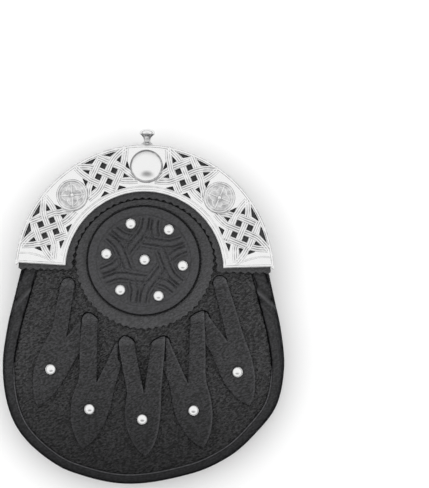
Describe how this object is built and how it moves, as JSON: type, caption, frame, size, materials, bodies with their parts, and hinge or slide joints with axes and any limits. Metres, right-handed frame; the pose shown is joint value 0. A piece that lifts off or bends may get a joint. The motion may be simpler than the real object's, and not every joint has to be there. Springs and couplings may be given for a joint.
{
  "type": "sporran pouch",
  "caption": "Black leather sporran pouch with a pierced metal cantle, a studded boss, hanging leather leaves, a strap over its mouth and rings at its back.",
  "frame": {"origin": "middle of the bounding box's bottom face: the pouch lies on its back, and the surface under it is Z = 0", "axes": "+X across the pouch to the right as seen from its front, +Y up the pouch from its bottom to the finial on its cantle, +Z out of its front"},
  "size_m": [0.1806, 0.2274, 0.0329],
  "materials": {
    "grained_leather": "pebbled grain, satin",
    "smooth_leather": "fine grain, semi-gloss",
    "soft_leather": "fine grain, matt",
    "polished_metal": "polished",
    "dark_nickel": "polished, dark"
  },
  "bodies": {
    "pouch": {"back_panel": "grained_leather", "gusset": "smooth_leather", "front_panel": "grained_leather", "closure_strap": "smooth_leather", "snap_cap": "dark_nickel", "back_patch": "grained_leather", "ring_loop_left": "smooth_leather", "ring_loop_right": "smooth_leather", "cantle_backing": "smooth_leather", "cantle": "polished_metal", "cantle_dome": "polished_metal", "medallion_left": "polished_metal", "medallion_right": "polished_metal", "finial": "polished_metal", "boss_patch": "soft_leather", "boss_disc": "soft_leather", "boss_stud_1": "polished_metal", "boss_stud_2": "polished_metal", "boss_stud_3": "polished_metal", "boss_stud_4": "polished_metal", "boss_stud_5": "polished_metal", "boss_stud_6": "polished_metal", "boss_stud_7": "polished_metal", "leather_leaf_1": "soft_leather", "leather_leaf_2": "soft_leather", "leather_leaf_3": "soft_leather", "leather_leaf_4": "soft_leather", "leather_leaf_5": "soft_leather", "leaf_stud_1": "polished_metal", "leaf_stud_2": "polished_metal", "leaf_stud_3": "polished_metal", "leaf_stud_4": "polished_metal", "leaf_stud_5": "polished_metal"},
    "ring_left": {"d_ring_left": "dark_nickel"},
    "ring_right": {"d_ring_right": "dark_nickel"}
  },
  "joints": [
    {"name": "ring_left_swing", "type": "hinge", "parent": "pouch", "child": "ring_left", "pos_m": [-0.0275, 0.035, 0.00255], "axis": [0, -1, 0], "range_deg": [-12, 160]},
    {"name": "ring_right_swing", "type": "hinge", "parent": "pouch", "child": "ring_right", "pos_m": [0.0275, 0.035, 0.00255], "axis": [0, 1, 0], "range_deg": [-12, 160]}
  ]
}
